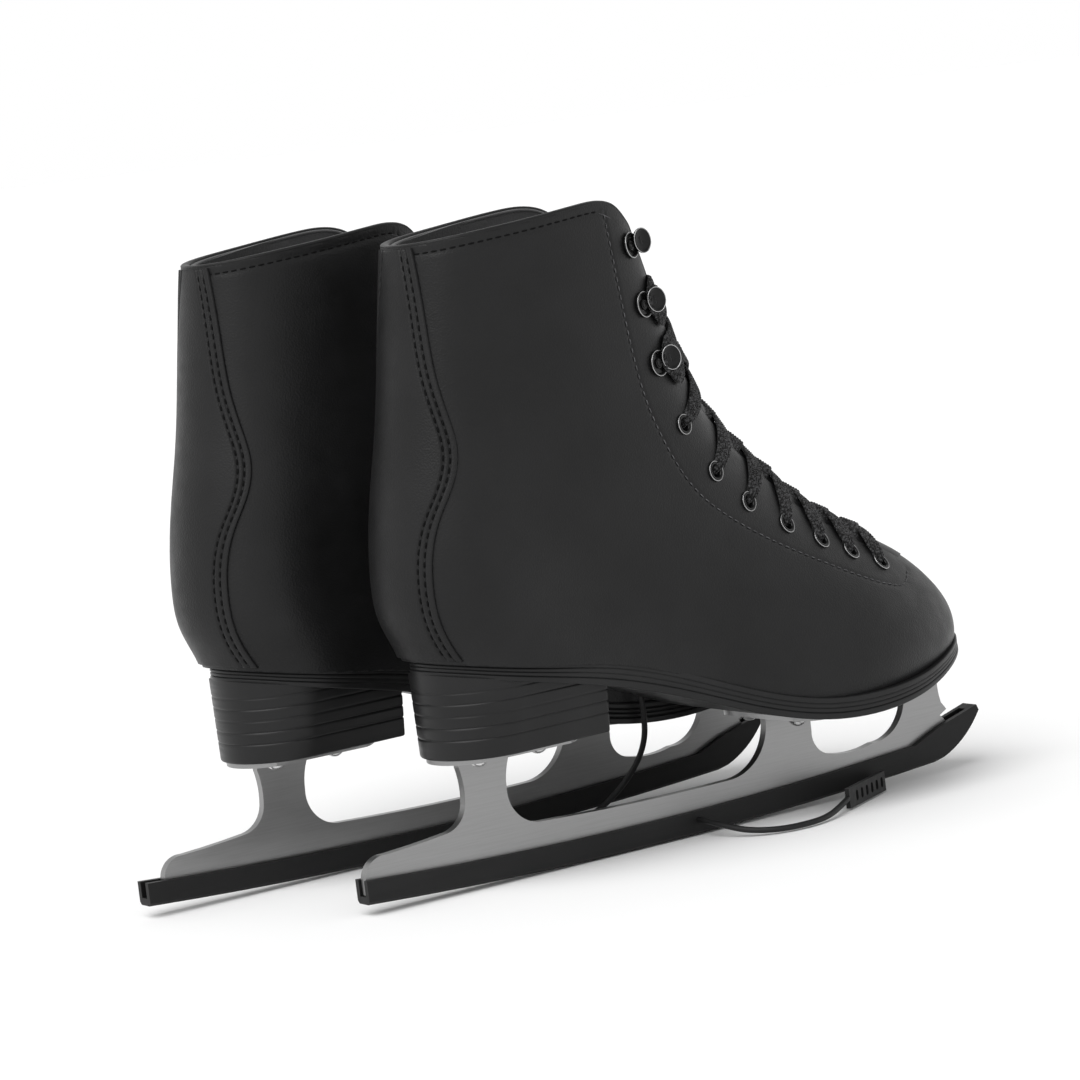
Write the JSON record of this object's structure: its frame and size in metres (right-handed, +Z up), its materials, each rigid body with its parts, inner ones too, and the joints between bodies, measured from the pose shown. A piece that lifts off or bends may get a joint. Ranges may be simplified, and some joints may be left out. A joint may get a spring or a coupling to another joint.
{
  "type": "pair of figure skates",
  "caption": "Pair of lace-up leather figure skates with steel toe-pick blades, speed hooks, stacked heels and slip-on blade guards on straps.",
  "frame": {"origin": "on the ground, at the middle of the pair's footprint", "axes": "+X towards the toes, +Y to the skater's left, +Z up"},
  "size_m": [0.358, 0.1708, 0.2629],
  "materials": {
    "boot_leather": "satin, fine grain",
    "facing_leather": "matte",
    "tongue_leather": "satin, padded",
    "lining": "matte brushed cloth",
    "insole_cloth": "matte",
    "tape": "matte woven",
    "stiffener_board": "matte fibre board",
    "sole_rubber": "satin, moulded",
    "heel_rubber": "satin, moulded",
    "blade_steel": "satin",
    "screw_steel": "bright",
    "black_metal": "gloss black",
    "lace": "woven flat lace",
    "tip_plastic": "gloss",
    "guard_plastic": "satin",
    "strap_rubber": "satin",
    "tab_rubber": "satin"
  },
  "bodies": {
    "right_skate": {"right_upper": "boot_leather", "right_backstay": "boot_leather", "right_heel_counter": "stiffener_board", "right_toe_box": "stiffener_board", "right_eyestay_facings": "facing_leather", "right_topline_tape": "tape", "right_lining": "lining", "right_tongue": "tongue_leather", "right_insole_board": "stiffener_board", "right_insole": "insole_cloth", "right_shank": "blade_steel", "right_outsole": "sole_rubber", "right_heel": "heel_rubber", "right_heel_plate": "blade_steel", "right_sole_plate": "blade_steel", "right_heel_screws": "screw_steel", "right_sole_screws": "screw_steel", "right_blade": "blade_steel", "right_eyelets": "black_metal", "right_speed_hooks": "black_metal", "right_hook_rivets": "black_metal", "right_lace": "lace", "right_lace_tips": "tip_plastic"},
    "right_guard": {"right_guard": "guard_plastic", "right_guard_strap": "strap_rubber", "right_strap_tab": "tab_rubber"},
    "left_skate": {"left_upper": "boot_leather", "left_backstay": "boot_leather", "left_heel_counter": "stiffener_board", "left_toe_box": "stiffener_board", "left_eyestay_facings": "facing_leather", "left_topline_tape": "tape", "left_lining": "lining", "left_tongue": "tongue_leather", "left_insole_board": "stiffener_board", "left_insole": "insole_cloth", "left_shank": "blade_steel", "left_outsole": "sole_rubber", "left_heel": "heel_rubber", "left_heel_plate": "blade_steel", "left_sole_plate": "blade_steel", "left_heel_screws": "screw_steel", "left_sole_screws": "screw_steel", "left_blade": "blade_steel", "left_eyelets": "black_metal", "left_speed_hooks": "black_metal", "left_hook_rivets": "black_metal", "left_lace": "lace", "left_lace_tips": "tip_plastic"},
    "left_guard": {"left_guard": "guard_plastic", "left_guard_strap": "strap_rubber", "left_strap_tab": "tab_rubber"}
  },
  "joints": [
    {"name": "right_guard_pull", "type": "slide", "parent": "right_skate", "child": "right_guard", "axis": [0, 0, -1], "range_m": [0, 0.03]},
    {"name": "left_skate_lift", "type": "slide", "parent": "right_skate", "child": "left_skate", "axis": [0, 0, 1], "range_m": [0, 0.3]},
    {"name": "left_guard_pull", "type": "slide", "parent": "left_skate", "child": "left_guard", "axis": [0, 0, -1], "range_m": [0, 0.03]}
  ]
}
